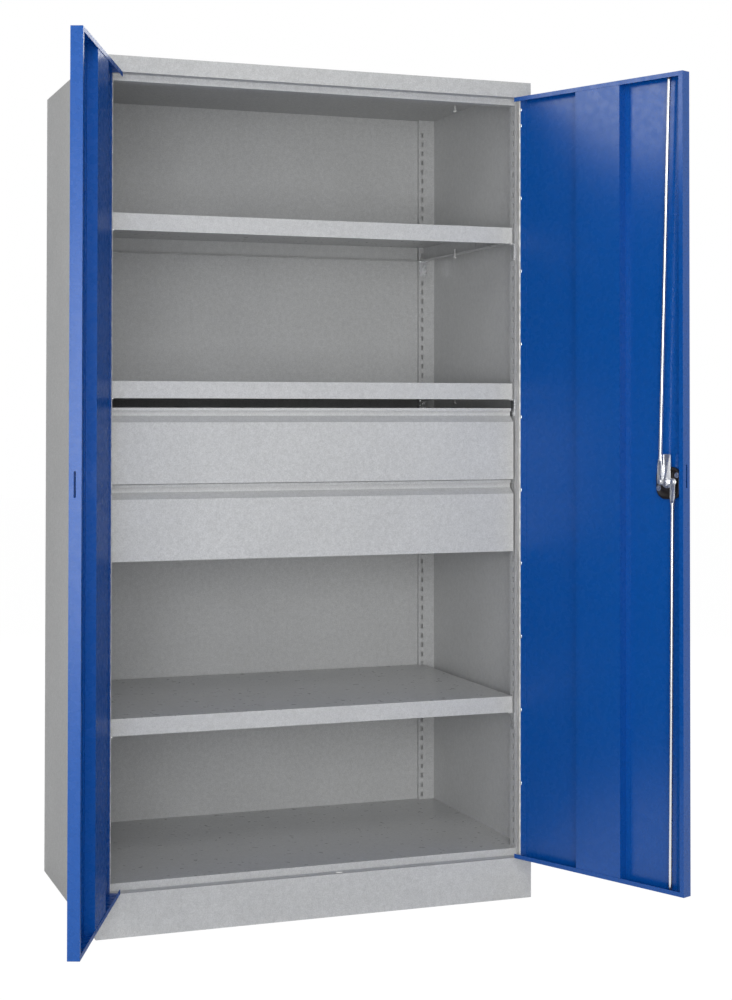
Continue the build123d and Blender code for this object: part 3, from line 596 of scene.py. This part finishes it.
def weld_bead(level):
    """One bead in the door's own directions, cut flat where it meets the strip."""
    clear()
    place_on_door = (*BEAD_PLACE, level)
    bpy.ops.mesh.primitive_uv_sphere_add(segments=14, ring_count=9, radius=1.0, location=place_on_door)
    bead = bpy.context.object
    bead.scale = BEAD_HALF
    only(bead)
    bpy.ops.object.transform_apply(location=True, scale=True)
    pick(bead, "faces", lambda face: True)
    bpy.ops.mesh.bisect(
        plane_co=(0.0, BEAD_PLACE[1], 0.0), plane_no=(0.0, 1.0, 0.0), clear_inner=True, use_fill=True
    )
    return bead


def joined(pieces):
    """Join pieces into the first one."""
    only(pieces[0])
    for piece in pieces[1:]:
        piece.select_set(True)
    bpy.ops.object.join()
    return pieces[0]


for side, (axis, along, inward) in door_places.items():
    beads = joined([weld_bead(level) for level in BEAD_LEVELS])
    beads.matrix_world = place(axis, along, inward, UP)
    only(beads)
    bpy.ops.object.transform_apply(location=True, rotation=True, scale=True)
    pick(beads, "faces", lambda face: True)
    bpy.ops.mesh.normals_make_consistent(inside=False)
    settle(beads, side + "_weld_beads", [side + "_hinge_door_leaf"], zinc, stands_for=False)

# %% [markdown]
# The lock is a black moulded case on the inside of the right door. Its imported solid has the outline,
# so the case is that solid with a rounded rim, and the moulding's face is inset and pressed down by a
# millimetre, which leaves a raised border and a boss round the spindle.

# %% Lock case
CASE_RIM = 1.0 * MM
CASE_FACE_DEPTH = 9.9
BORDER_WIDTH = 3.0 * MM
STEP_WIDTH = 0.5 * MM
STEP_DEPTH = 1.0 * MM
hinge_axis, door_along, door_inward = door_places["right"]


def depth_of(point):
    """How far a point lies inside the door's outer face."""
    return (point - hinge_axis).dot(door_inward)


def lock_face(level):
    """A rule for faces that look inwards at or above a depth."""
    return lambda face: face.normal.dot(door_inward) > 0.99 and depth_of(face.center) > level * MM


case = softened("lock_housing", CASE_RIM, 3)
count = pick(case, "faces", lock_face(CASE_FACE_DEPTH))
bpy.ops.mesh.inset(thickness=BORDER_WIDTH, depth=0.0)
bpy.ops.mesh.inset(thickness=STEP_WIDTH, depth=-STEP_DEPTH)
print("case top faces", count)
settle(case, "lock_case", ["lock_housing"])

# %% [markdown]
# Over the case sit the pieces that move: the cam plate with its long tongue, the two rods, the pins
# that join them and the nut on the spindle. They are stamped or turned steel, so their solids get a
# broken edge of a few tenths, and the pins and the nut get what turning really leaves: a domed head
# over a washer, and a chamfered crown with the spindle's end standing out of it.

# %% Cam, rods, pins and nut
for node, name, edge, rounds in (
    ("lock_cam", "cam_plate", 0.5 * MM, 2),
    ("upper_rod", "upper_rod_smooth", 0.4 * MM, 2),
    ("lower_rod", "lower_rod_smooth", 0.4 * MM, 2),
    ("lock_spindle", "spindle_bar", 0.5 * MM, 2),
    ("lock_housing_screws", "case_screws", 0.1 * MM, 1),
):
    settle(softened(node, edge, rounds), name, [node])

LOCK_TURN = Vector(joints["handle_turn"]["pos_m"])
lock_centre = LOCK_TURN - door_inward * depth_of(LOCK_TURN)
lock_place = place(lock_centre, door_along, UP, door_inward)


def turned(rings, sides, at=(0.0, 0.0)):
    """A round piece in millimetres: a disc that is extruded and resized from ring to ring."""
    radius, level = rings[0]
    clear()
    start = (0.0, 0.0, level * MM)
    bpy.ops.mesh.primitive_circle_add(
        vertices=sides, radius=radius * MM, fill_type="NGON", location=start
    )
    piece = bpy.context.object
    only(piece)
    bpy.ops.object.transform_apply(location=True)
    pick(piece, "faces", lambda face: True)
    for (before, low), (after, high) in zip(rings, rings[1:]):
        lift = (0.0, 0.0, (high - low) * MM)
        bpy.ops.mesh.extrude_region_move(TRANSFORM_OT_translate={"value": lift})
        ratio = after / before
        bpy.ops.transform.resize(value=(ratio, ratio, 1.0), center_override=(0.0, 0.0, high * MM))
    bpy.ops.mesh.select_all(action="SELECT")
    bpy.ops.mesh.normals_make_consistent(inside=False)
    only(piece)
    piece.location = (at[0] * MM, at[1] * MM, 0.0)
    bpy.ops.object.transform_apply(location=True)
    return piece


ROD_THROW = 17.5
PIN_RINGS = (
    (3.0, 13.4), (3.0, 16.6), (6.2, 16.6), (6.2, 17.2),
    (4.6, 17.2), (4.6, 18.6), (4.1, 19.2), (1.2, 19.4),
)
pins = joined([turned(PIN_RINGS, 24, (step * ROD_THROW, 0.0)) for step in (-1, 1)])
pins.matrix_world = lock_place
settle(pins, "domed_pivot_pins", ["rod_pivot_pins"])

NUT_RINGS = ((8.6, 13.4), (8.6, 17.4), (7.9, 18.0), (7.2, 18.4))
STUD_RINGS = ((4.0, 13.5), (4.0, 18.4), (4.0, 19.2), (3.3, 19.8), (1.5, 19.9))
nut_top = joined([turned(NUT_RINGS, 6), turned(STUD_RINGS, 20)])
nut_top.matrix_world = lock_place
settle(nut_top, "crowned_nut", ["spindle_nut"])

# %% [markdown]
# Outside, the same spindle carries a turning grip over a round plate, and the key cylinder sits in
# the grip. A moulded grip has no sharp corner anywhere, so its solid is rounded generously, the plate
# and the metal cylinder much less.

# %% Grip, plate and key cylinder
for node, name, edge, rounds in (
    ("turning_grip", "grip_moulding", 1.6 * MM, 4),
    ("lock_escutcheon", "round_plate", 0.8 * MM, 3),
    ("key_cylinder", "key_barrel", 0.3 * MM, 2),
):
    settle(softened(node, edge, rounds), name, [node])

# %% [markdown]
# Hexagon screws lock the shelves and the cover to the posts. A rolled screw has a domed head and no
# sharp corner, and that dome is what sparkles under a shelf. The solids are rounded a little, and the
# lowest face of each head is inset three times and let down, which makes the dome.

# %% Locking screws
HEAD_AREA = 40.0 * MM * MM
DOME_STEPS = ((1.0, 0.7), (1.2, 0.5), (1.2, 0.2))
screws = softened("locking_screws", 0.4 * MM, 2)
count = pick(screws, "faces", lambda face: face.normal.z < -0.99 and face.area > HEAD_AREA)
for inset, drop in DOME_STEPS:
    bpy.ops.mesh.inset(thickness=inset * MM, depth=drop * MM)
print("screw heads", count)
settle(screws, "hexagon_screws", ["locking_screws"], bright_zinc, 50.0)
